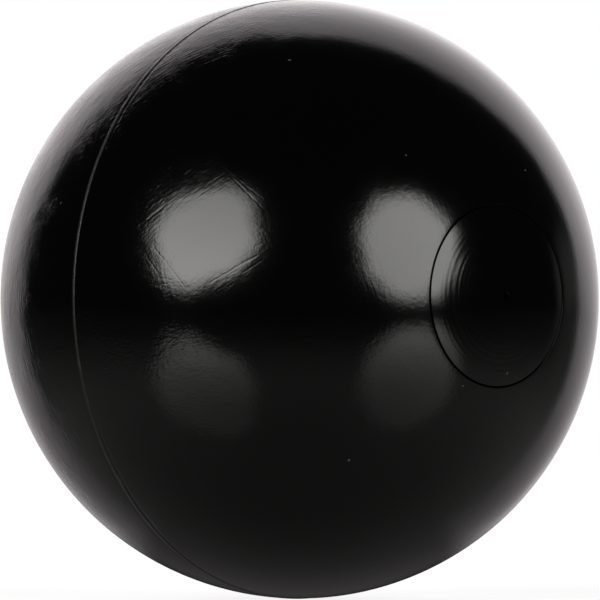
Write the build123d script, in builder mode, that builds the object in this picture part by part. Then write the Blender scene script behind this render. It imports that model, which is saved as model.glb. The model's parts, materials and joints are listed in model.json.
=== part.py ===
from build123d import *
import os
from math import sqrt

# Case opening friction ball: an inflated, tacky rubber ball that is pressed on a smooth screwed
# watch back and turned by hand. Two moulded half shells meet in a cemented lap joint at the equator,
# and a rubber valve plug sits flush in a stepped port at one pole.
# The origin is the ball's centre, +X leaves through the needle hole at the valve pole, and +Z is up.

# Driving dimensions, in millimetres
ball_diameter = 65.0
wall = 5.5  # thick enough to hold a firm shape at low pressure

film = 0.15  # thickness of a cement film
lap_length = 2.5  # how far the inner lip reaches past the equator
seam_chamfer = 0.2  # broken outer edge of each half at the equator
bead_height = 0.05  # cement squeezed out of the seam, proud of the ball

port_diameter = 19.45  # the plug's gap, seen as a fine circle, is 19.3 across its middle
port_edge_depth = 2.0  # depth of the port's step, at its edge
plug_gap = 0.15  # dry gap between the plug's head and the port, on the radius
neck_diameter = 11.0
pad_diameter = 17.0  # thickened seat inside the shell
pad_rise = 0.43

flange_diameter = 14.0
flange_thickness = 1.6
boss_diameter = 9.0
boss_length = 6.6
needle_hole_diameter = 1.0
needle_lip = 0.12  # broken edge at the mouth of the needle hole
needle_lip_angle = 90
chamber_diameter = 5.0
chamber_mouth_diameter = 3.2  # the rubber stretches here when the bung is pressed in
chamber_roof = 5.5  # rubber between the pole and the chamber
chamber_floor = 1.2

bung_end_play = 0.3
bung_grooves = 3
bung_groove_depth = 0.35
bung_funnel_diameter = 1.6
bung_funnel_depth = 1.0

edge_round = 0.06  # moulded edges beside the plug's gap
inner_round = 0.4  # moulded edges inside
pad_round = 0.2
near = 0.01  # how close to a plane an edge is picked

# Worked out from them
ball_radius = ball_diameter / 2
cavity_radius = ball_radius - wall
lap_radius = ball_radius - wall / 2
port_radius = port_diameter / 2
head_radius = port_radius - plug_gap
neck_radius = neck_diameter / 2
pad_radius = pad_diameter / 2
needle_radius = needle_hole_diameter / 2


def reach(radius, away):
    """How far a sphere's surface lies from its centre plane, at a distance away from its axis."""
    return sqrt(radius**2 - away**2)


port_floor = reach(ball_radius, port_radius) - port_edge_depth
pad_face = reach(cavity_radius, pad_radius) - pad_rise
flange_top = pad_face - film
flange_bottom = flange_top - flange_thickness
boss_end = flange_bottom - boss_length
chamber_top = ball_radius - chamber_roof
chamber_bottom = boss_end + chamber_floor


def arc(radius, start, end):
    """The stretch of a circle about the ball's centre between two points on it."""
    middle = (Vector(*start) + Vector(*end)).normalized() * radius
    return ThreePointArc(start, (middle.X, middle.Y), end)


def half_outline(side, has_lip):
    """Closed outline of a half shell in the plane of the axis, drawn for side +1 or -1 along X."""
    inner_end = film / 2 - lap_length
    lip_face = inner_end if has_lip else inner_end - film
    lap = lap_radius - film / 2 if has_lip else lap_radius + film / 2
    butt = side * film / 2
    edge_start = (butt, ball_radius - seam_chamfer)
    edge_end = (butt + side * seam_chamfer, reach(ball_radius, film / 2 + seam_chamfer))
    inner_start = (lip_face, reach(cavity_radius, lip_face))
    Polyline(inner_start, (lip_face, lap), (butt, lap), edge_start, edge_end)
    arc(ball_radius, edge_end, (side * ball_radius, 0))
    Line((side * ball_radius, 0), (side * cavity_radius, 0))
    arc(cavity_radius, (side * cavity_radius, 0), inner_start)


def outer_rim(edges, plane):
    """The widest of the circular edges that lie in a plane across the axis."""
    circles = edges.filter_by(GeomType.CIRCLE).filter_by_position(Axis.X, plane - near, plane + near)
    return circles.sort_by(SortBy.RADIUS)[-1]


# The hidden half: plain, with the rebate that takes the lip
with BuildPart() as plain_half_shell:
    with BuildSketch(Plane.XZ):
        with BuildLine():
            half_outline(side=-1, has_lip=False)
        make_face()
    revolve(axis=Axis.X)
plain_half_shell.part.label = "plain_half_shell"

# The valve half: lip at the equator, flat seat pad inside the pole, stepped port through it
with BuildPart() as valve_half_shell:
    with BuildSketch(Plane.XZ):
        with BuildLine():
            half_outline(side=1, has_lip=True)
        make_face()
    revolve(axis=Axis.X)
    with BuildSketch(Plane.YZ.offset(pad_face)):
        Circle(pad_radius)
    extrude(amount=port_floor - pad_face)
    with Locations(Plane.YZ.offset(ball_radius)):
        CounterBoreHole(neck_radius, port_radius, ball_radius - port_floor, ball_radius - pad_face)
    fillet(outer_rim(valve_half_shell.edges(), reach(ball_radius, port_radius)), edge_round)
    fillet(outer_rim(valve_half_shell.edges(), pad_face), pad_round)
valve_half_shell.part.label = "valve_half_shell"

# Cement in the lap joint, squeezed out into a fine bead all round the equator
with BuildPart() as seam_cement:
    half_film = film / 2
    inner_lap = lap_radius - half_film
    outer_lap = lap_radius + half_film
    groove_floor = ball_radius - seam_chamfer
    bead_edge = half_film + seam_chamfer
    bead_right = (bead_edge, reach(ball_radius, bead_edge))
    bead_left = (-bead_right[0], bead_right[1])
    lip_face = half_film - lap_length
    step_face = lip_face - film
    lip_corner = (lip_face, reach(cavity_radius, lip_face))
    step_corner = (step_face, reach(cavity_radius, step_face))
    with BuildSketch(Plane.XZ):
        with BuildLine():
            ThreePointArc(bead_left, (0, ball_radius + bead_height), bead_right)
            Polyline(bead_right, (half_film, groove_floor), (half_film, inner_lap))
            Polyline((half_film, inner_lap), (lip_face, inner_lap), lip_corner)
            arc(cavity_radius, lip_corner, step_corner)
            Polyline(step_corner, (step_face, outer_lap), (-half_film, outer_lap))
            Polyline((-half_film, outer_lap), (-half_film, groove_floor), bead_left)
        make_face()
    revolve(axis=Axis.X)
seam_cement.part.label = "seam_cement"

# Valve plug: flush head, neck through the port, flange behind the seat, boss with the bung's chamber
with BuildPart() as valve_plug:
    head_edge = (reach(ball_radius, head_radius), head_radius)
    with BuildSketch(Plane.XZ):
        with BuildLine():
            arc(ball_radius, (ball_radius, 0), head_edge)
            Polyline(
                head_edge,
                (port_floor, head_radius),
                (port_floor, neck_radius),
                (flange_top, neck_radius),
                (flange_top, flange_diameter / 2),
                (flange_bottom, flange_diameter / 2),
                (flange_bottom, boss_diameter / 2),
                (boss_end, boss_diameter / 2),
                (boss_end, 0),
                (ball_radius, 0),
            )
        make_face()
    revolve(axis=Axis.X)
    with BuildSketch(Plane.YZ.offset(chamber_bottom)):
        Circle(chamber_diameter / 2)
    extrude(amount=chamber_top - chamber_bottom, mode=Mode.SUBTRACT)
    with Locations(Plane.YZ.offset(ball_radius)):
        CounterSinkHole(needle_radius, needle_radius + needle_lip, chamber_roof, needle_lip_angle)
    with Locations(Plane.YZ.offset(chamber_bottom)):
        Hole(chamber_mouth_diameter / 2, chamber_floor)
    fillet(outer_rim(valve_plug.edges(), head_edge[0]), edge_round)
    for plane in (flange_bottom, boss_end):
        fillet(outer_rim(valve_plug.edges(), plane), inner_round)
valve_plug.part.label = "valve_plug"

# Cement between the plug's flange and the seat pad
with BuildPart() as flange_cement:
    with BuildSketch(Plane.YZ.offset(flange_top)):
        Circle(flange_diameter / 2)
        Circle(neck_radius, mode=Mode.SUBTRACT)
    extrude(amount=film)
flange_cement.part.label = "flange_cement"

# Self-sealing bung: soft gum plug, grooved between its ribs, with a funnel that leads the needle
# to its closed slit
with BuildPart() as valve_bung:
    bung_bottom = chamber_bottom + bung_end_play
    bung_length = chamber_top - bung_bottom
    groove_length = bung_length / (2 * bung_grooves + 1)
    with BuildSketch(Plane.YZ.offset(bung_bottom)):
        Circle(chamber_diameter / 2)
    extrude(amount=bung_length)
    for groove in range(bung_grooves):
        groove_start = bung_bottom + groove_length * (2 * groove + 1)
        with BuildSketch(Plane.YZ.offset(groove_start)):
            Circle(chamber_diameter / 2)
            Circle(chamber_diameter / 2 - bung_groove_depth, mode=Mode.SUBTRACT)
        extrude(amount=groove_length, mode=Mode.SUBTRACT)
    funnel_rim = (chamber_top, bung_funnel_diameter / 2)
    funnel_point = (chamber_top - bung_funnel_depth, 0)
    with BuildSketch(Plane.XZ):
        with BuildLine():
            Polyline((chamber_top, 0), funnel_rim, funnel_point, close=True)
        make_face()
    revolve(axis=Axis.X, mode=Mode.SUBTRACT)
valve_bung.part.label = "valve_bung"

os.makedirs("parts", exist_ok=True)
for piece in (plain_half_shell, valve_half_shell, seam_cement, valve_plug, flange_cement, valve_bung):
    export_step(piece.part, f"parts/{piece.part.label}.step")
    print(piece.part.label, round(piece.part.volume / 1000, 3), "cm3")
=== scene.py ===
import json
import math

import bmesh
import bpy
from mathutils import Matrix, Vector, noise


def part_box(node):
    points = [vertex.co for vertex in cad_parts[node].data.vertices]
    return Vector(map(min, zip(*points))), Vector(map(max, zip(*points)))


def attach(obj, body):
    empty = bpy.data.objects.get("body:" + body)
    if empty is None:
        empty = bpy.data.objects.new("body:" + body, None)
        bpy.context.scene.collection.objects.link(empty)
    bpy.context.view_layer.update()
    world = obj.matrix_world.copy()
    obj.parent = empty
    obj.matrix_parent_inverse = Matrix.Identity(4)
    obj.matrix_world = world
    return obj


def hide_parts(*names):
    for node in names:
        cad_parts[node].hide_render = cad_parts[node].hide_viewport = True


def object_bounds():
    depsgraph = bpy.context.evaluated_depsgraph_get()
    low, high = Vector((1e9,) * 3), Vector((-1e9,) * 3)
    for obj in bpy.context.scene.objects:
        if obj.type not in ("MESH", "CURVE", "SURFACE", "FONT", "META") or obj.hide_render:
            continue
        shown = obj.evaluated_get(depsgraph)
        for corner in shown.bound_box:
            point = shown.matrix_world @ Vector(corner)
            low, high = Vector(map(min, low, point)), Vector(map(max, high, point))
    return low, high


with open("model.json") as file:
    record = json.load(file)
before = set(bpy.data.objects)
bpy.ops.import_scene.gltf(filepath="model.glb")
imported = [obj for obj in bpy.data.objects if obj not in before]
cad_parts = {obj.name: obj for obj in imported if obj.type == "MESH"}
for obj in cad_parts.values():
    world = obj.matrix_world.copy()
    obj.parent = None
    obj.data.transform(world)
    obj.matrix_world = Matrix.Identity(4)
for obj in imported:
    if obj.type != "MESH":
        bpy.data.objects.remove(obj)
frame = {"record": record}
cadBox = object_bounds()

# A case opening friction ball: an inflated rubber ball of two moulded halves, with a valve plug in one pole.
# Outlines are drawn in millimetres in the plane of the ball's axis, X across and Z up, then spun about X.
mm = 0.001
ballRadius = -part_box("plain_half_shell")[0].x / mm
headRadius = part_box("valve_plug")[1].z / mm
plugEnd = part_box("valve_plug")[0].x / mm  # inner end of the plug's boss
halfFilm = -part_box("plain_half_shell")[1].x / mm  # half the cement's thickness at the seam
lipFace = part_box("valve_half_shell")[0].x / mm
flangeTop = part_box("flange_cement")[0].x / mm
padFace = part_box("flange_cement")[1].x / mm
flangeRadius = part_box("flange_cement")[1].z / mm
bungEnd, chamberRoof = (corner.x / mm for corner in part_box("valve_bung"))
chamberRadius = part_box("valve_bung")[1].z / mm
needleMount = next(m for m in frame["record"]["mounts"] if m["name"] == "needle_port")
needleRadius = needleMount["dims"]["r_mm"]
print("frame loaded, ball radius", round(ballRadius, 3), "mm, plug head", round(headRadius, 3), "mm")


# A long lens just under the ball's own level, turned about halfway from the front toward the valve
view = {
    "azimuth": 47.6,
    "elevation": -0.95,
    "distance": 0.91,
    "lens": 502.36,
    "sensor": 36.0,
    "shift": (0.00067, -0.001),
}
azimuth, elevation = math.radians(view["azimuth"]), math.radians(view["elevation"])
toCamera = Vector((
    math.sin(azimuth) * math.cos(elevation),
    -math.cos(azimuth) * math.cos(elevation),
    math.sin(elevation),
))
toRight = Vector((math.cos(azimuth), math.sin(azimuth), 0))
toTop = toCamera.cross(toRight)
cameraData = bpy.data.cameras.new("productCamera")
cameraData.lens = view["lens"]
cameraData.sensor_width = view["sensor"]
cameraData.shift_x, cameraData.shift_y = view["shift"]
cameraData.clip_start, cameraData.clip_end = 0.01, 20
camera = bpy.data.objects.new("productCamera", cameraData)
bpy.context.scene.collection.objects.link(camera)
camera.location = toCamera * view["distance"]
camera.rotation_mode = "QUATERNION"
camera.rotation_quaternion = toCamera.to_track_quat("Z", "Y")
bpy.context.scene.camera = camera
bpy.context.scene.view_settings.view_transform = "Standard"


def linear(hexCode):
    # sRGB hex to the linear colour that a shader takes
    values = [int(hexCode[i:i + 2], 16) / 255 for i in (1, 3, 5)]
    return [v / 12.92 if v <= 0.04045 else ((v + 0.055) / 1.055) ** 2.4 for v in values] + [1.0]


def addNode(tree, kind, settings=None, links=None):
    # settings are the node's own properties or its input values, links feed its inputs
    node = tree.nodes.new(kind)
    for name, value in (settings or {}).items():
        if isinstance(name, str) and hasattr(node, name):
            setattr(node, name, value)
        else:
            node.inputs[name].default_value = value
    for name, source in (links or {}).items():
        if not isinstance(source, bpy.types.NodeSocket):
            source = next(output for output in source.outputs if output.enabled)
        tree.links.new(source, node.inputs[name])
    return node


# The studio: two octagonal softboxes in front, a lit white wall behind, a dark room, and a dark polished
# table that mirrors them below the horizon. Azimuth 0 is toward the camera and 90 to its right.
studio = {
    "tableTilt": 4.0,  # the table's front half falls away toward the camera, in degrees
    "edgeDrop": 0.038,  # and its edge lies this far under the ball's own level, as a sine
    # azimuth, elevation and half width in degrees, how round the corners are, its turn and how much nearer
    # each pair of its eight sides is, then light and how it leans to the side and upward
    "boxes": [
        {
            "at": (-39.2, 22.9), "half": 19.0, "corner": 0.055, "turn": 22.5,
            "sides": (1.01, 0.97, 1.16, 1.01), "light": 5.55, "lean": (-0.05, -0.72),
        },
        {
            "at": (44.4, 18.6), "half": 18.3, "corner": 0.10, "turn": 0, "sides": (1, 1, 1, 1),
            "light": 5.05, "lean": (0.20, 0.10),
        },
        {  # stray light
            "at": (127.0, 4.0), "half": 8.0, "corner": 0.1, "turn": 0, "sides": (1, 1, 1, 1),
            "light": 0.10, "lean": (0.0, 0.0),
        },
    ],
    "boxEdge": 0.070,
    "boxTint": "#fffefb",
    "wallTint": "#fff8fa",
    # outline of the wall as it is seen from the ball, (right, up) at distance 1 behind it
    "wall": [
        (-1.03, -0.2), (-1.03, 0.75), (-0.75, 1.13), (-0.45, 1.37), (0.0, 1.58),
        (0.38, 1.50), (0.82, 1.29), (0.98, 1.0), (0.96, -0.2),
    ],
    "wallEdge": 0.060,
    # light by the sine of the height over the horizon
    "wallLight": [
        (0.0, 0.72), (0.07, 0.94), (0.14, 1.15), (0.21, 1.28), (0.30, 1.37), (0.40, 1.31), (0.52, 1.22),
        (0.61, 1.08), (0.70, 0.95), (0.84, 0.80),
    ],
    "wallMiddle": 1.08,
    "wallLean": -0.50,  # darker toward its sides
    "roomLight": 0.014,
    # by the sine of the depth under the horizon
    "tableLight": [
        (0.0, 0.012), (0.09, 0.034), (0.14, 0.056), (0.19, 0.086), (0.26, 0.128), (0.36, 0.182),
        (0.48, 0.190),
        (0.64, 0.160), (0.77, 0.130), (0.87, 0.113), (0.95, 0.100), (1.0, 0.094),
    ],
    "tableFront": 0.25,  # how much darker the table is on the camera's side
    "dimFade": (0.4, 0.9),  # where the table's two dimmings start and are full, as sines
    "mirror": 0.04,
    "boxesMirrored": 0.58,  # the boxes throw less of their light low down
    "contactDim": 0.56,
    "contactShade": (0.15, 0.20, 0.60, 0.05),  # the dark wedge where the ball meets the table
}
world = bpy.data.worlds.new("studio")
bpy.context.scene.world = world
world.use_nodes = True
tree = world.node_tree
tree.nodes.clear()
direction = addNode(tree, "ShaderNodeTexCoord").outputs["Generated"]
tilt = math.radians(studio["tableTilt"])
ahead = addNode(
    tree, "ShaderNodeVectorMath", {"operation": "DOT_PRODUCT", 1: tuple(toCamera)}, {0: direction}
)
ahead = addNode(tree, "ShaderNodeMath", {"operation": "GREATER_THAN", 1: 0.0}, {0: ahead})
upright = addNode(
    tree, "ShaderNodeMix",
    {"data_type": "VECTOR", 4: tuple(toTop), 5: tuple(toTop * math.cos(tilt) + toCamera * math.sin(tilt))},
    {0: ahead},
)
rise = addNode(
    tree, "ShaderNodeVectorMath", {"operation": "DOT_PRODUCT"}, {0: direction, 1: upright}
)
rise = addNode(tree, "ShaderNodeMath", {"operation": "ADD", 1: studio["edgeDrop"]}, {0: rise})
height = addNode(tree, "ShaderNodeMath", {"operation": "ABSOLUTE"}, {0: rise})
# a direction below the horizon is turned up, as the table mirrors it
sunk = addNode(tree, "ShaderNodeMath", {"operation": "MINIMUM", 1: 0.0}, {0: rise})
sunk = addNode(tree, "ShaderNodeMath", {"operation": "MULTIPLY", 1: -2.0}, {0: sunk})
lifted = addNode(tree, "ShaderNodeVectorMath", {"operation": "SCALE"}, {0: upright, "Scale": sunk})
upward = addNode(tree, "ShaderNodeVectorMath", {"operation": "ADD"}, {0: direction, 1: lifted})
# how far each direction points to the right and to the front
rightward, frontward = (
    addNode(tree, "ShaderNodeVectorMath", {"operation": "DOT_PRODUCT", 1: tuple(axis)}, {0: upward})
    for axis in (toRight, toCamera)
)
ramps = {}
for name in ("wallLight", "tableLight"):
    ramp = addNode(tree, "ShaderNodeValToRGB", links={0: height})
    for i, (where, shade) in enumerate(studio[name]):
        stop = ramp.color_ramp.elements[i] if i < 2 else ramp.color_ramp.elements.new(where)
        stop.position = where
        stop.color = (shade, shade, shade, 1)
    ramps[name] = ramp


def inStudio(point):
    # a point given as right, up and front
    return toRight * point[0] + toTop * point[1] + toCamera * point[2]


lit = None
for box in studio["boxes"]:
    turn, lift = (math.radians(angle) for angle in box["at"])
    centre = inStudio((math.sin(turn) * math.cos(lift), math.sin(lift), math.cos(turn) * math.cos(lift)))
    side = toTop.cross(centre).normalized()
    over = centre.cross(side)
    reach = None
    for k in range(4):
        angle = math.radians(box["turn"] + 45 * k)
        across = (side * math.cos(angle) + over * math.sin(angle)) * box["sides"][k]
        edge = addNode(
            tree, "ShaderNodeVectorMath", {"operation": "DOT_PRODUCT", 1: tuple(across)}, {0: upward}
        )
        edge = addNode(tree, "ShaderNodeMath", {"operation": "ABSOLUTE"}, {0: edge})
        reach = edge if reach is None else addNode(
            tree, "ShaderNodeMath", {"operation": "SMOOTH_MAX", 2: box["corner"]}, {0: reach, 1: edge}
        )
    toward = addNode(
        tree, "ShaderNodeVectorMath", {"operation": "DOT_PRODUCT", 1: tuple(centre)}, {0: upward}
    )
    outside = addNode(
        tree, "ShaderNodeMath", {"operation": "MULTIPLY_ADD", 1: -math.tan(math.radians(box["half"]))},
        {0: toward, 2: reach},
    )
    shape = addNode(
        tree, "ShaderNodeMapRange",
        {"interpolation_type": "SMOOTHSTEP", 1: -studio["boxEdge"], 2: studio["boxEdge"], 3: 1.0, 4: 0.0},
        {0: outside},
    )
    lean = (side * box["lean"][0] + over * box["lean"][1]) * box["light"]
    level = addNode(
        tree, "ShaderNodeVectorMath", {"operation": "DOT_PRODUCT", 1: tuple(lean)}, {0: upward}
    )
    level = addNode(tree, "ShaderNodeMath", {"operation": "ADD", 1: box["light"]}, {0: level})
    glow = addNode(tree, "ShaderNodeMath", {"operation": "MULTIPLY"}, {0: shape, 1: level})
    lit = glow if lit is None else addNode(tree, "ShaderNodeMath", {"operation": "ADD"}, {0: lit, 1: glow})

inside = None
for (x0, y0), (x1, y1) in zip(studio["wall"], studio["wall"][1:]):
    plane = inStudio((x1, y1, -1)).cross(inStudio((x0, y0, -1))).normalized()
    if plane.dot(inStudio((0, 0.5, -1))) < 0:
        plane = -plane
    edge = addNode(tree, "ShaderNodeVectorMath", {"operation": "DOT_PRODUCT", 1: tuple(plane)}, {0: upward})
    inside = edge if inside is None else addNode(
        tree, "ShaderNodeMath", {"operation": "MINIMUM"}, {0: inside, 1: edge}
    )
wallShape = addNode(
    tree, "ShaderNodeMapRange",
    {"interpolation_type": "SMOOTHSTEP", 1: -studio["wallEdge"], 2: studio["wallEdge"]}, {0: inside},
)
sideways = addNode(tree, "ShaderNodeMath", {"operation": "DIVIDE"}, {0: rightward, 1: frontward})
sideways = addNode(tree, "ShaderNodeMath", {"operation": "ABSOLUTE"}, {0: sideways})
sideways = addNode(
    tree, "ShaderNodeMath",
    {"operation": "MULTIPLY_ADD", 1: studio["wallLean"], 2: studio["wallMiddle"]}, {0: sideways},
)
wallLevel = addNode(tree, "ShaderNodeMath", {"operation": "MULTIPLY"}, {0: ramps["wallLight"], 1: sideways})
below = addNode(tree, "ShaderNodeMath", {"operation": "LESS_THAN", 1: 0.0}, {0: rise})
dimmed = addNode(
    tree, "ShaderNodeMath", {"operation": "MULTIPLY_ADD", 1: studio["boxesMirrored"] - 1, 2: 1.0}, {0: below}
)
lit = addNode(tree, "ShaderNodeMath", {"operation": "MULTIPLY"}, {0: lit, 1: dimmed})
above = addNode(
    tree, "ShaderNodeMath", {"operation": "MULTIPLY_ADD"}, {0: wallShape, 1: wallLevel, 2: lit}
)
above = addNode(tree, "ShaderNodeMath", {"operation": "ADD", 1: studio["roomLight"]}, {0: above})
# the table mirrors more the flatter the light meets it
flat = addNode(tree, "ShaderNodeMath", {"operation": "SUBTRACT", 0: 1.0}, {1: height})
flat = addNode(tree, "ShaderNodeMath", {"operation": "POWER", 1: 5.0}, {0: flat})
mirrored = addNode(
    tree, "ShaderNodeMath", {"operation": "MULTIPLY_ADD", 1: 1 - studio["mirror"], 2: studio["mirror"]},
    {0: flat},
)
# close under the ball the table mirrors only the ball's own dark underside
start, drop, spread, soft = studio["contactShade"]
down = addNode(
    tree, "ShaderNodeVectorMath", {"operation": "DOT_PRODUCT", 1: tuple(-toTop)}, {0: direction}
)
wedge = addNode(
    tree, "ShaderNodeMath", {"operation": "MULTIPLY_ADD", 1: spread, 2: start - drop * spread}, {0: down}
)
aside = addNode(tree, "ShaderNodeMath", {"operation": "ABSOLUTE"}, {0: rightward})
wedge = addNode(tree, "ShaderNodeMath", {"operation": "SUBTRACT"}, {0: aside, 1: wedge})
clearOfBall = addNode(
    tree, "ShaderNodeMapRange", {"interpolation_type": "SMOOTHSTEP", 1: -soft, 2: soft}, {0: wedge}
)
clearOfBall = addNode(tree, "ShaderNodeMath", {"operation": "MAXIMUM"}, {0: clearOfBall, 1: ahead})
mirrored = addNode(tree, "ShaderNodeMath", {"operation": "MULTIPLY"}, {0: mirrored, 1: clearOfBall})
share = addNode(tree, "ShaderNodeMix", {"data_type": "FLOAT", 2: 1.0}, {0: below, 3: mirrored})
dimStart, dimEnd = studio["dimFade"]
front = addNode(
    tree, "ShaderNodeMapRange",
    {"interpolation_type": "SMOOTHSTEP", 1: dimStart, 2: dimEnd, 3: 1.0, 4: 1 - studio["tableFront"]},
    {0: frontward},
)
table = addNode(tree, "ShaderNodeMath", {"operation": "MULTIPLY"}, {0: ramps["tableLight"], 1: front})
dim = addNode(
    tree, "ShaderNodeMapRange",
    {"interpolation_type": "SMOOTHSTEP", 1: dimStart, 2: dimEnd, 3: studio["contactDim"]}, {0: down},
)
dim = addNode(tree, "ShaderNodeMix", {"data_type": "FLOAT", 3: 1.0}, {0: clearOfBall, 2: dim})
table = addNode(tree, "ShaderNodeMath", {"operation": "MULTIPLY"}, {0: table, 1: dim})
table = addNode(tree, "ShaderNodeMath", {"operation": "MULTIPLY"}, {0: table, 1: below})
surround = addNode(tree, "ShaderNodeMath", {"operation": "MULTIPLY_ADD"}, {0: above, 1: share, 2: table})
tint = addNode(
    tree, "ShaderNodeMix",
    {"data_type": "RGBA", 6: linear(studio["boxTint"]), 7: linear(studio["wallTint"])}, {0: wallShape},
)
studioLight = addNode(tree, "ShaderNodeBackground", links={"Color": tint, "Strength": surround})
backdrop = addNode(tree, "ShaderNodeBackground", {"Color": linear("#ffffff"), "Strength": 1.0})
seen = addNode(tree, "ShaderNodeLightPath").outputs["Is Camera Ray"]
both = addNode(tree, "ShaderNodeMixShader", links={0: seen, 1: studioLight, 2: backdrop})
addNode(tree, "ShaderNodeOutputWorld", links={0: both})
print("studio made")


# White sweep paper, level with the bottom of the ball
floorLook = {"size": 8.0, "paint": "#ffffff", "albedo": 0.30, "glow": 0.87}
bm = bmesh.new()
bmesh.ops.create_grid(bm, x_segments=2, y_segments=2, size=floorLook["size"] / 2)
bmesh.ops.translate(bm, verts=bm.verts, vec=(0, 0, cadBox[0].z))
floorMesh = bpy.data.meshes.new("paleFloor")
bm.to_mesh(floorMesh)
bm.free()
floor = bpy.data.objects.new("paleFloor", floorMesh)
bpy.context.scene.collection.objects.link(floor)
floor.visible_glossy = False  # the ball mirrors the studio's own dark table instead

# matt white sweep paper: even and bright, with the ball's soft shadow on it
paper = bpy.data.materials.new("whiteSweepPaper")
paper.use_nodes = True
tree = paper.node_tree
tree.nodes.clear()
matt = addNode(tree, "ShaderNodeBsdfDiffuse", {"Color": [floorLook["albedo"]] * 3 + [1.0]})
glow = addNode(
    tree, "ShaderNodeEmission", {"Color": linear(floorLook["paint"]), "Strength": floorLook["glow"]}
)
both = addNode(tree, "ShaderNodeAddShader", links={0: matt, 1: glow})
addNode(tree, "ShaderNodeOutputMaterial", links={0: both})
floorMesh.materials.append(paper)
print("floor laid")


# An outline is drawn point by point, and is then spun into a piece
weld = 0.0005  # mm, points closer than this become one
sharpAngle = 38  # degrees, edges that turn more than this stay crisp


def startOutline(point):
    bm = bmesh.new()
    return bm, bm.verts.new((point[0], 0, point[1]))


def lineTo(bm, vert, point, cuts=1):
    step = (Vector((point[0], 0, point[1])) - vert.co) / cuts
    for i in range(cuts):
        vert = bmesh.ops.extrude_vert_indiv(bm, verts=[vert])["verts"][0]
        bmesh.ops.translate(bm, verts=[vert], vec=step)
    return vert


def arcTo(bm, vert, centre, degrees, cuts):
    # positive degrees turn from +Z toward +X
    made = bmesh.ops.spin(
        bm, geom=[vert], cent=(centre[0], 0, centre[1]), axis=(0, 1, 0), dvec=(0, 0, 0),
        angle=math.radians(degrees), steps=cuts, use_merge=False, use_normal_flip=False, use_duplicate=False,
    )
    return next(item for item in made["geom_last"] if isinstance(item, bmesh.types.BMVert))


def polar(vert):
    # degrees from +Z toward +X about the ball's centre
    return math.degrees(math.atan2(vert.co.x, vert.co.z))


def reachOf(radius, away):
    return math.sqrt(radius ** 2 - away ** 2)


def spinRound(bm, steps):
    # an eighth is spun, and turned copies of it close the ring
    eighth = math.tau / 8
    bmesh.ops.spin(
        bm, geom=bm.verts[:] + bm.edges[:], cent=(0, 0, 0), axis=(1, 0, 0), dvec=(0, 0, 0),
        angle=eighth, steps=steps // 8, use_merge=False, use_normal_flip=False, use_duplicate=False,
    )
    for turn in (eighth, 2 * eighth, 4 * eighth):
        copied = bmesh.ops.duplicate(bm, geom=bm.verts[:] + bm.edges[:] + bm.faces[:])["geom"]
        bmesh.ops.rotate(
            bm, verts=[item for item in copied if isinstance(item, bmesh.types.BMVert)],
            cent=(0, 0, 0), matrix=Matrix.Rotation(turn, 3, "X"),
        )
    bmesh.ops.remove_doubles(bm, verts=bm.verts, dist=weld)
    bmesh.ops.recalc_face_normals(bm, faces=bm.faces)


def finishPiece(name, bm, node):
    bmesh.ops.scale(bm, verts=bm.verts, vec=(mm, mm, mm))
    mesh = bpy.data.meshes.new(name)
    bm.to_mesh(mesh)
    bm.free()
    mesh.polygons.foreach_set("use_smooth", [True] * len(mesh.polygons))
    mesh.set_sharp_from_angle(angle=math.radians(sharpAngle))
    piece = bpy.data.objects.new(name, mesh)
    bpy.context.scene.collection.objects.link(piece)
    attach(piece, "root")
    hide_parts(node)
    triangles = sum(len(face.vertices) - 2 for face in mesh.polygons)
    print(name, "made,", triangles, "triangles")
    return piece


# Heights over the sphere and drift along the axis, in mm, shared by both halves and the bead,
# so that they meet
seam = {
    "crest": (0.010, 0.036, 0.14, 0.10),  # where, how high, how wide on the plain side and on the valve side
    "dips": [(-0.45, -0.012, 0.18), (0.42, -0.012, 0.16)],
    "swell": (0.72, 0.003, 0.16),
    # the valve half sits this much lower, over this rise, and recovers over this length
    "step": (0.030, 0.17, 1.0),
    "halfWidth": 0.20,  # of the bead, where the shells' broken edges end
    "chamferDepth": 0.2,
    "reach": 1.3,  # how far the skin's finest steps reach from the seam
    "fade": (0.4, 4.5),  # the drift is full up to the first distance and fades over the second
    "far": 5,  # the skin is left alone past this distance
    "uneven": 0.20,
    "waver": 0.035,
    "sag": (0.16, -62.0, 20.0),  # the bond line strays toward the plain half low down in front
}
spinSteps = 512  # round the ball, and the bead has twice as many


def bump(offset, shape):
    where, high, wide = shape
    return high * math.exp(-((offset - where) / wide) ** 2)


def seamHeight(offset, around):
    ring = Vector((0, math.cos(around), math.sin(around)))
    crest = 1 + seam["uneven"] * noise.noise(ring * 34) + 0.12 * noise.noise(ring * 110)
    where, high, plainWide, valveWide = seam["crest"]
    crest *= bump(offset, (where, high, plainWide if offset < where else valveWide))
    dips = sum(bump(offset, dip) for dip in seam["dips"])
    dips *= 1 + 0.5 * noise.noise(ring * 18 + Vector((5, 0, 0)))
    low, rise, recover = seam["step"]
    past = max(0, offset - where)
    sunk = low * (1 - math.exp(-(past / rise) ** 2)) * math.exp(-past / recover)
    return crest + dips + bump(offset, seam["swell"]) - sunk


def seamDrift(around):
    ring = Vector((0, math.cos(around), math.sin(around)))
    amount, middle, spread = seam["sag"]
    turn = math.degrees(around) + 180 + middle
    turn = (turn + 180) % 360 - 180
    waver = noise.noise(ring * 9 + Vector((2, 0, 0))) + 0.5 * noise.noise(ring * 40)
    return seam["waver"] * waver - amount * math.exp(-(turn / spread) ** 2)


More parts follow.
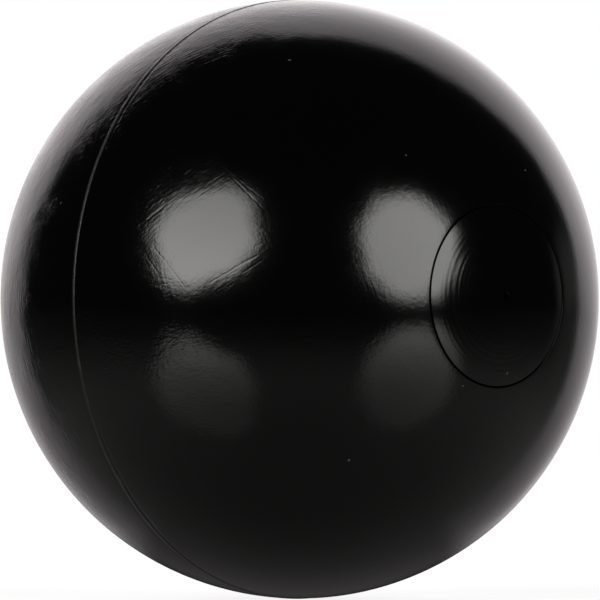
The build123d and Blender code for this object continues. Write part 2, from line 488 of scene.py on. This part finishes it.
def shapeSeam(bm):
    fadeStart, fadeLength = seam["fade"]
    for vert in bm.verts:
        radius = vert.co.length
        if radius < ballRadius - 2 * seam["chamferDepth"]:
            continue
        offset = ballRadius * math.atan2(vert.co.x, math.hypot(vert.co.y, vert.co.z))
        if abs(offset) > seam["far"]:
            continue
        around = math.atan2(vert.co.z, vert.co.y)
        fade = 1 - min(1, max(0, (abs(offset) - fadeStart) / fadeLength))
        height = seamHeight(offset, around) if radius > ballRadius - 0.01 else 0
        vert.co = vert.co * ((radius + height) / radius)
        vert.co.x += seamDrift(around) * fade * fade * (3 - 2 * fade)


shellSizes = {
    "wall": 5.5,
    "portGap": 0.175,
    "portDepth": 2.0,
    "neckRadius": 5.5,
    "padRadius": 8.5,
    "edgeRound": 0.02,
    "edgeFall": (0.6, 0.013),  # the skin falls a little over this distance beside the port
    "padRound": 0.2,
}
cavityRadius = ballRadius - shellSizes["wall"]
lapRadius = ballRadius - shellSizes["wall"] / 2
portRadius = headRadius + shellSizes["portGap"]
portFloor = reachOf(ballRadius, portRadius) - shellSizes["portDepth"]
seamEdge = math.degrees(seam["halfWidth"] / ballRadius)


def skinFromSeam(bm, vert, side, end):
    # the outer skin, finest where the seam's profile is, out to a polar angle
    for reach, cuts in ((seam["reach"], 20), (3.0, 9), (7.0, 14)):
        angle = side * math.degrees(reach / ballRadius)
        vert = arcTo(bm, vert, (0, 0), angle - polar(vert), cuts)
    return arcTo(bm, vert, (0, 0), end - polar(vert), 40)


# Plain half, from the pole in along the inside, round the rebate and back over the skin
bm, first = startOutline((-cavityRadius, 0))
stepFace = lipFace - 2 * halfFilm
vert = arcTo(bm, first, (0, 0), 90 - math.degrees(math.asin(-stepFace / cavityRadius)), 36)
vert = lineTo(bm, vert, (stepFace, lapRadius + halfFilm), 3)
vert = lineTo(bm, vert, (-halfFilm, lapRadius + halfFilm), 3)
vert = lineTo(bm, vert, (-halfFilm, ballRadius - seam["chamferDepth"]), 3)
groove = Vector((math.sin(math.radians(-seamEdge)), math.cos(math.radians(seamEdge)))) * ballRadius
vert = lineTo(bm, vert, groove, 3)
vert = skinFromSeam(bm, vert, -1, -90)
spinRound(bm, spinSteps)
shapeSeam(bm)
plainShell = finishPiece("plainHalfShell", bm, "plain_half_shell")

# Valve half, from the seam over the skin to the port, down its step, through the neck and back inside
bm, first = startOutline((-groove[0], groove[1]))
lipRound = shellSizes["edgeRound"]
portEdge = (reachOf(ballRadius - lipRound, portRadius + lipRound), portRadius + lipRound)
edgeAngle = math.degrees(math.atan2(portEdge[0], portEdge[1]))
vert = skinFromSeam(bm, first, 1, edgeAngle - 5)
vert = arcTo(bm, vert, (0, 0), edgeAngle - polar(vert), 34)
fallLength, fallDepth = shellSizes["edgeFall"]
for point in bm.verts:
    near = max(0, 1 - (point.co.z - portEdge[1]) / fallLength) if point.co.x > 0 else 0
    point.co *= 1 - fallDepth * near ** 2 / ballRadius
portEdge = (portEdge[0] - fallDepth, portEdge[1])
vert = arcTo(bm, vert, portEdge, 180 - edgeAngle, 6)
vert = lineTo(bm, vert, (portFloor, portRadius), 4)
vert = lineTo(bm, vert, (portFloor, shellSizes["neckRadius"]), 3)
vert = lineTo(bm, vert, (padFace, shellSizes["neckRadius"]), 2)
vert = lineTo(bm, vert, (padFace, shellSizes["padRadius"] - shellSizes["padRound"]), 3)
padCentre = (padFace + shellSizes["padRound"], shellSizes["padRadius"] - shellSizes["padRound"])
vert = arcTo(bm, vert, padCentre, 90, 4)
vert = lineTo(bm, vert, (reachOf(cavityRadius, shellSizes["padRadius"]), shellSizes["padRadius"]), 1)
vert = arcTo(bm, vert, (0, 0), -math.degrees(math.asin(-lipFace / cavityRadius)) - polar(vert), 30)
vert = lineTo(bm, vert, (lipFace, lapRadius - halfFilm), 3)
vert = lineTo(bm, vert, (halfFilm, lapRadius - halfFilm), 3)
vert = lineTo(bm, vert, (halfFilm, ballRadius - seam["chamferDepth"]), 3)
vert = lineTo(bm, vert, (-groove[0], groove[1]), 3)
bmesh.ops.remove_doubles(bm, verts=bm.verts, dist=weld)
spinRound(bm, spinSteps)
shapeSeam(bm)
valveShell = finishPiece("valveHalfShell", bm, "valve_half_shell")

# Cement bead: its crown shows, the rest fills the lap joint
bm, first = startOutline(groove)
vert = arcTo(bm, first, (0, 0), 2 * seamEdge, 26)
vert = lineTo(bm, vert, (halfFilm, ballRadius - seam["chamferDepth"]), 3)
vert = lineTo(bm, vert, (halfFilm, lapRadius - halfFilm), 3)
vert = lineTo(bm, vert, (lipFace, lapRadius - halfFilm), 3)
vert = lineTo(bm, vert, (lipFace, reachOf(cavityRadius, lipFace)), 3)
vert = lineTo(bm, vert, (stepFace, reachOf(cavityRadius, stepFace)), 1)
vert = lineTo(bm, vert, (stepFace, lapRadius + halfFilm), 3)
vert = lineTo(bm, vert, (-halfFilm, lapRadius + halfFilm), 3)
vert = lineTo(bm, vert, (-halfFilm, ballRadius - seam["chamferDepth"]), 3)
vert = lineTo(bm, vert, groove, 3)
bmesh.ops.remove_doubles(bm, verts=bm.verts, dist=weld)
spinRound(bm, 2 * spinSteps)
shapeSeam(bm)
seamBead = finishPiece("seamCement", bm, "seam_cement")


plug = {
    "holeRadius": needleRadius - 0.18,  # the rubber closes a little when no needle is in it
    "mouthRadius": needleRadius - 0.10,
    "edgeRound": 0.012,
    "flangeThickness": 1.6,
    "bossRadius": 4.5,
    "innerRound": 0.4,
    "chamberFloor": 1.2,
    "chamberMouth": 1.6,
    # turned rings on the face: distance from the axis, height, width
    "rings": [
        (2.4, 0.0009, 0.20), (3.3, 0.0013, 0.20), (4.1, 0.0016, 0.18), (4.75, 0.0018, 0.16),
        (5.3, 0.0030, 0.16), (5.85, 0.0020, 0.14), (6.28, 0.0042, 0.16), (6.82, 0.0042, 0.16),
        (7.55, 0.0038, 0.18), (8.05, 0.0022, 0.16), (8.6, 0.0012, 0.20),
    ],
    "shoulder": (7.9, 0.045),  # where the face starts to fall to its edge, and by how much
    "steps": 384,
}


def faceHeight(away):
    start, drop = plug["shoulder"]
    fall = max(0, (away - start) / (headRadius - start))
    return sum(bump(away, ring) for ring in plug["rings"]) - drop * fall ** 2


bm, first = startOutline((reachOf(ballRadius, plug["mouthRadius"]), plug["mouthRadius"]))
headRound = plug["edgeRound"]
headEdge = (
    reachOf(ballRadius - headRound, headRadius - headRound) - plug["shoulder"][1],
    headRadius - headRound,
)
headAngle = math.degrees(math.atan2(headEdge[0], headEdge[1]))
vert = arcTo(bm, first, (0, 0), headAngle - polar(first), 110)
for point in bm.verts:
    away = point.co.z
    point.co = point.co * ((ballRadius + faceHeight(away)) / ballRadius)
vert = lineTo(bm, vert, (headEdge[0] + headRound * math.sin(math.radians(headAngle)),
                         headEdge[1] + headRound * math.cos(math.radians(headAngle))), 1)
vert = arcTo(bm, vert, headEdge, -headAngle, 6)
vert = lineTo(bm, vert, (portFloor, headRadius), 4)
vert = lineTo(bm, vert, (portFloor, shellSizes["neckRadius"]), 3)
vert = lineTo(bm, vert, (flangeTop, shellSizes["neckRadius"]), 2)
vert = lineTo(bm, vert, (flangeTop, flangeRadius), 2)
flangeBottom = flangeTop - plug["flangeThickness"]
innerRound = plug["innerRound"]
vert = lineTo(bm, vert, (flangeBottom + innerRound, flangeRadius), 1)
vert = arcTo(bm, vert, (flangeBottom + innerRound, flangeRadius - innerRound), -90, 6)
vert = lineTo(bm, vert, (flangeBottom, plug["bossRadius"]), 2)
vert = lineTo(bm, vert, (plugEnd + innerRound, plug["bossRadius"]), 4)
vert = arcTo(bm, vert, (plugEnd + innerRound, plug["bossRadius"] - innerRound), -90, 6)
vert = lineTo(bm, vert, (plugEnd, plug["chamberMouth"]), 2)
vert = lineTo(bm, vert, (plugEnd + plug["chamberFloor"], plug["chamberMouth"]), 2)
vert = lineTo(bm, vert, (plugEnd + plug["chamberFloor"], chamberRadius), 1)
vert = lineTo(bm, vert, (chamberRoof, chamberRadius), 4)
vert = lineTo(bm, vert, (chamberRoof, plug["holeRadius"]), 2)
mouth = first.co.copy()
vert = lineTo(bm, vert, (mouth.x - (plug["mouthRadius"] - plug["holeRadius"]), plug["holeRadius"]), 4)
vert = lineTo(bm, vert, (mouth.x, mouth.z), 3)
bmesh.ops.remove_doubles(bm, verts=bm.verts, dist=weld)
spinRound(bm, plug["steps"])
valvePlug = finishPiece("valvePlug", bm, "valve_plug")


# Out of sight: the ring of cement on the plug's flange, and the gum bung inside its boss
ringSizes = {"inside": 0.05, "outside": 0.1, "steps": 128}  # clear of the neck, short of the flange's edge
ringInner = shellSizes["neckRadius"] + ringSizes["inside"]
ringOuter = flangeRadius - ringSizes["outside"]
bm, first = startOutline((flangeTop, ringInner))
vert = lineTo(bm, first, (flangeTop, ringOuter), 8)
vert = arcTo(bm, vert, ((flangeTop + padFace) / 2, ringOuter), 180, 8)
vert = lineTo(bm, vert, (padFace, ringInner), 8)
vert = lineTo(bm, vert, (flangeTop, ringInner), 2)
bmesh.ops.remove_doubles(bm, verts=bm.verts, dist=weld)
spinRound(bm, ringSizes["steps"])
flangeCement = finishPiece("flangeCement", bm, "flange_cement")

bungSizes = {
    "grooves": 3,
    "grooveDepth": 0.35,
    "ribRound": 0.18,
    "funnelRadius": 0.8,
    "funnelDepth": 1.0,
    "steps": 96,
}
bm, first = startOutline((chamberRoof - bungSizes["funnelDepth"], 0))
vert = lineTo(bm, first, (chamberRoof, bungSizes["funnelRadius"]), 4)
bungLength = chamberRoof - bungEnd
ribLength = bungLength / (2 * bungSizes["grooves"] + 1)
ribRound = bungSizes["ribRound"]
grooveRadius = chamberRadius - bungSizes["grooveDepth"]
for rib in range(bungSizes["grooves"] + 1):
    ribTop = chamberRoof - 2 * rib * ribLength
    if rib > 0:
        vert = lineTo(bm, vert, (ribTop, grooveRadius), 2)
    vert = lineTo(bm, vert, (ribTop, chamberRadius - ribRound), 1)
    vert = arcTo(bm, vert, (ribTop - ribRound, chamberRadius - ribRound), -90, 5)
    vert = lineTo(bm, vert, (ribTop - ribLength + ribRound, chamberRadius), 1)
    vert = arcTo(bm, vert, (ribTop - ribLength + ribRound, chamberRadius - ribRound), -90, 5)
    if rib < bungSizes["grooves"]:
        vert = lineTo(bm, vert, (ribTop - ribLength, grooveRadius), 1)
vert = lineTo(bm, vert, (bungEnd, 0), 3)
spinRound(bm, bungSizes["steps"])
gumBung = finishPiece("valveBung", bm, "valve_bung")


# Rub marks that follow the buffing: direction (right, up) as the ball is held, width in mm, length over
# width, height in mm, the side of the ball (right, up, front) where they are strongest, and the cosines
# from it between which they come in
rubMarks = [
    {"along": (0.83, 0.56), "width": 0.25, "stretch": 12.0, "height": 0.024,
     "side": (-0.72, 0.62, 0.30), "fade": (0.55, 0.85)},
    {"along": (0.98, 0.18), "width": 0.30, "stretch": 9.0, "height": 0.026,
     "side": (-0.50, -0.25, 0.83), "fade": (0.92, 1.0)},
    {"along": (0.30, -0.95), "width": 0.30, "stretch": 14.0, "height": 0.050,
     "side": (-0.93, -0.36, 0.05), "fade": (0.76, 0.96)},
    {"along": (0.88, 0.47), "width": 0.26, "stretch": 17.0, "height": 0.040,
     "side": (-0.35, 0.92, 0.15), "fade": (0.82, 0.96)},
    {"along": (0.80, 0.60), "width": 0.26, "stretch": 17.0, "height": 0.040,
     "side": (-0.72, 0.66, 0.15), "fade": (0.74, 0.93)},
]
# Single scratches from point to point on the skin, in mm, then half width and depth
scratches = [
    ((14.2, -25.4, 14.4), (21.0, -23.4, 8.2), 0.16, 0.0026),
    ((14.9, -25.4, 13.9), (20.2, -23.2, 9.6), 0.14, 0.0018),
    ((8.7, -30.3, 7.6), (10.9, -29.2, 9.3), 0.24, 0.0070),
    ((16.1, -28.2, 0.9), (21.1, -24.3, 4.5), 0.20, 0.0032),
    ((19.3, -26.1, 2.1), (21.2, -24.4, 3.7), 0.20, 0.0034),
    ((9.8, -30.4, 5.8), (14.7, -29.0, 0.2), 0.18, 0.0026),
    ((9.2, -30.8, 4.8), (11.5, -30.4, 2.0), 0.20, 0.0026),
    ((-8.6, -27.0, 15.9), (-0.7, -25.7, 19.8), 0.18, 0.0040),
    ((-7.3, -27.8, 15.1), (-1.8, -27.2, 17.7), 0.16, 0.0040),
    ((-6.3, -25.4, 19.2), (-1.5, -25.1, 20.6), 0.16, 0.0030),
    ((-4.7, -24.1, 21.3), (-4.9, -22.5, 22.9), 0.18, 0.0040),
    ((4.4, -12.7, 29.6), (12.4, -13.1, 27.0), 0.16, 0.0032),
    ((5.2, -11.3, 30.0), (10.3, -12.2, 28.3), 0.16, 0.0028),
    ((-9.5, -30.9, 3.8), (-6.7, -31.3, 5.8), 0.18, 0.0040),
    ((31.0, -9.7, -0.1), (31.4, -8.2, -0.8), 0.14, 0.0060),
]
# Lint and dust caught on the skin, in mm, and how far across
specks = [
    ((14.5, -14.7, 25.1), 0.16), ((23.4, -14.3, -17.4), 0.13), ((31.4, 1.1, -8.2), 0.11),
    ((28.9, 6.2, 13.5), 0.11),
    ((-4.2, -30.6, 10.0), 0.14), ((27.3, -9.7, 14.8), 0.10), ((30.7, -4.7, -9.6), 0.10),
]


def newMaterial(name):
    # an empty material, and the place on its piece in mm
    material = bpy.data.materials.new(name)
    material.use_nodes = True
    tree = material.node_tree
    tree.nodes.clear()
    place = addNode(tree, "ShaderNodeTexCoord").outputs["Object"]
    place = addNode(tree, "ShaderNodeVectorMath", {"operation": "SCALE", "Scale": 1 / mm}, {0: place})
    return material, tree, place


def rubSkin(tree, place, look, patches, normal):
    # parallel marks that come and go in patches, each kind strongest on its own side of the ball
    low, high = look["patchEdges"]
    patchy = addNode(
        tree, "ShaderNodeMapRange", {1: low, 2: high, 3: look["rubEven"], 4: 1.0}, {0: patches}
    )
    worn = None
    for mark in look["rubs"]:
        along = inStudio((*mark["along"], 0)).normalized()
        toSide = inStudio(mark["side"]).normalized() / ballRadius
        turned = addNode(
            tree, "ShaderNodeMapping",
            {"vector_type": "TEXTURE", "Rotation": along.to_track_quat("X", "Z").to_euler(),
             "Scale": (mark["width"] * mark["stretch"], mark["width"], mark["width"])},
            {"Vector": place},
        )
        lines = addNode(
            tree, "ShaderNodeTexNoise", {"Scale": 1.0, "Detail": 2.0, "Roughness": 0.55}, {"Vector": turned}
        )
        where = addNode(
            tree, "ShaderNodeVectorMath", {"operation": "DOT_PRODUCT", 1: tuple(toSide)}, {0: place}
        )
        where = addNode(
            tree, "ShaderNodeMapRange",
            {"interpolation_type": "SMOOTHSTEP", 1: mark["fade"][0], 2: mark["fade"][1],
             3: look["rubElsewhere"]},
            {0: where},
        )
        where = addNode(tree, "ShaderNodeMath", {"operation": "MULTIPLY"}, {0: where, 1: patchy})
        lines = addNode(tree, "ShaderNodeMath", {"operation": "MULTIPLY"}, {0: lines, 1: where})
        normal = addNode(
            tree, "ShaderNodeBump", {"Strength": 1.0, "Distance": mark["height"] * mm},
            {"Height": lines, "Normal": normal},
        )
        worn = where if worn is None else addNode(
            tree, "ShaderNodeMath", {"operation": "MAXIMUM"}, {0: worn, 1: where}
        )
    return normal, worn


def scoreSkin(tree, place, strayed, marks, normal):
    # single scratches, each a groove along the shortest way between its two ends
    scored = None
    for start, end, halfWidth, depth in marks:
        start, end = Vector(start), Vector(end)
        across = start.cross(end).normalized()
        middle = (start + end).normalized()
        halfTurn = start.angle(end) / 2
        away = addNode(
            tree, "ShaderNodeVectorMath", {"operation": "DOT_PRODUCT", 1: tuple(across)}, {0: strayed}
        )
        away = addNode(tree, "ShaderNodeMath", {"operation": "ABSOLUTE"}, {0: away})
        groove = addNode(
            tree, "ShaderNodeMapRange",
            {"interpolation_type": "SMOOTHSTEP", 1: 0.0, 2: halfWidth, 3: -depth, 4: 0.0}, {0: away},
        )
        length = addNode(
            tree, "ShaderNodeVectorMath", {"operation": "DOT_PRODUCT", 1: tuple(middle / ballRadius)},
            {0: place},
        )
        within = addNode(
            tree, "ShaderNodeMapRange",
            {"interpolation_type": "SMOOTHSTEP", 1: math.cos(halfTurn), 2: math.cos(halfTurn * 0.5)},
            {0: length},
        )
        cut = addNode(tree, "ShaderNodeMath", {"operation": "MULTIPLY"}, {0: groove, 1: within})
        scored = cut if scored is None else addNode(
            tree, "ShaderNodeMath", {"operation": "ADD"}, {0: scored, 1: cut}
        )
    return addNode(
        tree, "ShaderNodeBump", {"Strength": 1.0, "Distance": mm}, {"Height": scored, "Normal": normal}
    )


def turnSkin(tree, strayed, turned, normal):
    # fine rings left by turning the plug's mould
    pitch, high = turned
    flatPlace = addNode(
        tree, "ShaderNodeVectorMath", {"operation": "MULTIPLY", 1: (0, 1, 1)}, {0: strayed}
    )
    away = addNode(tree, "ShaderNodeVectorMath", {"operation": "LENGTH"}, {0: flatPlace})
    rings = addNode(
        tree, "ShaderNodeTexNoise",
        {"noise_dimensions": "1D", "Scale": 1 / pitch, "Detail": 1.5}, {"W": away},
    )
    return addNode(
        tree, "ShaderNodeBump", {"Strength": 1.0, "Distance": high * mm},
        {"Height": rings, "Normal": normal},
    )


def dustSkin(tree, place, look):
    # sparse dust on the tacky skin
    cells = addNode(
        tree, "ShaderNodeTexVoronoi", {"Scale": 1 / look["dust"][0], "Randomness": 1.0}, {"Vector": place}
    )
    ragged = addNode(tree, "ShaderNodeTexNoise", {"Scale": 9.0, "Detail": 1.0}, {"Vector": place})
    spread = addNode(
        tree, "ShaderNodeMath",
        {"operation": "MULTIPLY", 1: 2 * look["dust"][1] / look["dust"][0]}, {0: ragged},
    )
    speck = addNode(tree, "ShaderNodeMath", {"operation": "LESS_THAN"}, {0: cells, 1: spread})
    for where, across in specks:
        away = addNode(
            tree, "ShaderNodeVectorMath", {"operation": "DISTANCE", 1: where}, {0: place}
        )
        away = addNode(
            tree, "ShaderNodeMath", {"operation": "MULTIPLY_ADD", 1: -2 * across}, {0: ragged, 2: away}
        )
        near = addNode(tree, "ShaderNodeMath", {"operation": "LESS_THAN", 1: 0.0}, {0: away})
        speck = addNode(tree, "ShaderNodeMath", {"operation": "MAXIMUM"}, {0: speck, 1: near})
    return speck


def blackRubber(name, look):
    material, tree, place = newMaterial(name)
    grain = addNode(
        tree, "ShaderNodeTexNoise", {"Scale": 1 / look["grain"][0], "Detail": 2.5, "Roughness": 0.55},
        {"Vector": place},
    )
    normal = addNode(
        tree, "ShaderNodeBump", {"Strength": 1.0, "Distance": look["grain"][1] * mm}, {"Height": grain}
    )
    patches = addNode(
        tree, "ShaderNodeTexNoise", {"Scale": 1 / look["patch"], "Detail": 2.0}, {"Vector": place}
    )
    normal, worn = rubSkin(tree, place, look, patches, normal)
    # scratches waver a little, as a hand does
    often, far = look["waver"]
    waver = addNode(tree, "ShaderNodeTexNoise", {"Scale": often, "Detail": 1.0}, {"Vector": place})
    strayed = addNode(
        tree, "ShaderNodeVectorMath", {"operation": "MULTIPLY_ADD", 1: (far, far, far)},
        {0: waver.outputs["Color"], 2: place},
    )
    strayed = addNode(
        tree, "ShaderNodeVectorMath", {"operation": "ADD", 1: (-far / 2, -far / 2, -far / 2)}, {0: strayed}
    )
    normal = scoreSkin(tree, place, strayed, look["scratches"], normal)
    if look["turned"]:
        normal = turnSkin(tree, strayed, look["turned"], normal)
    speck = dustSkin(tree, place, look)
    colour = addNode(
        tree, "ShaderNodeMix",
        {"data_type": "RGBA", 6: linear(look["base"]), 7: linear(look["dustColour"])}, {0: speck},
    )
    gloss = addNode(
        tree, "ShaderNodeMapRange", {3: look["gloss"][0], 4: look["gloss"][1]}, {0: patches}
    )
    gloss = addNode(
        tree, "ShaderNodeMath", {"operation": "MULTIPLY_ADD", 1: look["rubDull"]}, {0: worn, 2: gloss}
    )
    gloss = addNode(
        tree, "ShaderNodeMath", {"operation": "MULTIPLY_ADD", 1: look["dustDull"]}, {0: speck, 2: gloss}
    )
    surface = addNode(
        tree, "ShaderNodeBsdfPrincipled", {"IOR": 1.5},
        {"Base Color": colour, "Roughness": gloss, "Normal": normal},
    )
    addNode(tree, "ShaderNodeOutputMaterial", links={0: surface})
    return material


# Black natural rubber, moulded against a polished mould and buffed by hand: a wet-looking gloss on
# near-black, broken by parallel rub marks, a few scratches and a faint orange peel
shellLook = {
    "base": "#010101",
    "gloss": (0.09, 0.13),
    "grain": (0.50, 0.0075),  # width and height of the orange peel, in mm
    "patch": 5.0,  # size in mm of the patches that the rub marks come in
    "patchEdges": (0.38, 0.62),
    "rubs": rubMarks,
    "rubEven": 0.20,  # how strong the marks are between the patches
    "rubElsewhere": 0.10,  # and away from their own side of the ball
    "rubDull": 0.02,
    "scratches": scratches,
    "waver": (0.9, 0.24),  # how often in a mm, and how far in mm, a scratch strays
    "turned": None,
    "dust": (9.0, 0.06),  # distance between specks and their size, in mm
    "dustColour": "#34322f",
    "dustDull": 0.5,
}
# The same rubber from a turned mould, less handled: fine rings and only a trace of rub marks
plugLook = {
    **shellLook,
    "grain": (0.50, 0.0045),
    "rubs": rubMarks[:1],
    "rubEven": 0.3,
    "scratches": scratches[-1:],
    "turned": (0.33, 0.0026),  # pitch and height of the rings, in mm
    "dust": (6.0, 0.06),
}
shellRubber = blackRubber("buffedBlackRubber", shellLook)
plugRubber = blackRubber("turnedBlackRubber", plugLook)

# Rubber cement, brushed on, squeezed out and cured: a dull black line, brown where residue has gathered
cementLook = {
    "base": "#0a0807",
    "residue": "#19130f",
    "gloss": 0.42,
    "dull": 0.58,
    "pitch": 2.6,  # size of the blotches of residue, in mm
    "blotchEdges": (0.52, 0.68),
    "grain": (0.35, 0.003),  # width and height of its strings, in mm
}
curedCement, tree, place = newMaterial("curedRubberCement")
blotches = addNode(
    tree, "ShaderNodeTexNoise", {"Scale": 1 / cementLook["pitch"], "Detail": 3.0}, {"Vector": place}
)
low, high = cementLook["blotchEdges"]
dull = addNode(
    tree, "ShaderNodeMapRange", {"interpolation_type": "SMOOTHSTEP", 1: low, 2: high}, {0: blotches}
)
tone = addNode(
    tree, "ShaderNodeMix",
    {"data_type": "RGBA", 6: linear(cementLook["base"]), 7: linear(cementLook["residue"])}, {0: dull},
)
gloss = addNode(tree, "ShaderNodeMapRange", {3: cementLook["gloss"], 4: cementLook["dull"]}, {0: dull})
strings = addNode(
    tree, "ShaderNodeTexNoise", {"Scale": 1 / cementLook["grain"][0], "Detail": 2.0}, {"Vector": place}
)
normal = addNode(
    tree, "ShaderNodeBump", {"Strength": 1.0, "Distance": cementLook["grain"][1] * mm}, {"Height": strings}
)
surface = addNode(
    tree, "ShaderNodeBsdfPrincipled", {"IOR": 1.5},
    {"Base Color": tone, "Roughness": gloss, "Normal": normal},
)
addNode(tree, "ShaderNodeOutputMaterial", links={0: surface})

# Pure gum rubber, cast and dusted with talc: soft amber, a little cloudy, light passes into it
gumLook = {
    "light": "#c98d4a",
    "deep": "#8a5220",
    "gloss": 0.42,
    "cloud": 1.4,  # size of the clouds, in mm
    "grain": (0.25, 0.006),  # width and height of the talc's marks, in mm
    "soft": 0.4,
    "depth": 0.0008,  # how far light passes into it, in metres
}
gumRubber, tree, place = newMaterial("castGumRubber")
cloud = addNode(tree, "ShaderNodeTexNoise", {"Scale": 1 / gumLook["cloud"], "Detail": 3.0}, {"Vector": place})
tone = addNode(
    tree, "ShaderNodeMix",
    {"data_type": "RGBA", 6: linear(gumLook["deep"]), 7: linear(gumLook["light"])}, {0: cloud},
)
skin = addNode(
    tree, "ShaderNodeTexNoise", {"Scale": 1 / gumLook["grain"][0], "Detail": 2.0}, {"Vector": place}
)
normal = addNode(
    tree, "ShaderNodeBump", {"Strength": 1.0, "Distance": gumLook["grain"][1] * mm}, {"Height": skin}
)
surface = addNode(
    tree, "ShaderNodeBsdfPrincipled",
    {"IOR": 1.52, "Roughness": gumLook["gloss"],
     "Subsurface Weight": gumLook["soft"], "Subsurface Scale": gumLook["depth"]},
    {"Base Color": tone, "Normal": normal},
)
addNode(tree, "ShaderNodeOutputMaterial", links={0: surface})

for piece, material in (
    (plainShell, shellRubber),
    (valveShell, shellRubber),
    (valvePlug, plugRubber),
    (seamBead, curedCement),
    (flangeCement, curedCement),
    (gumBung, gumRubber),
):
    piece.data.materials.append(material)
print("materials given")
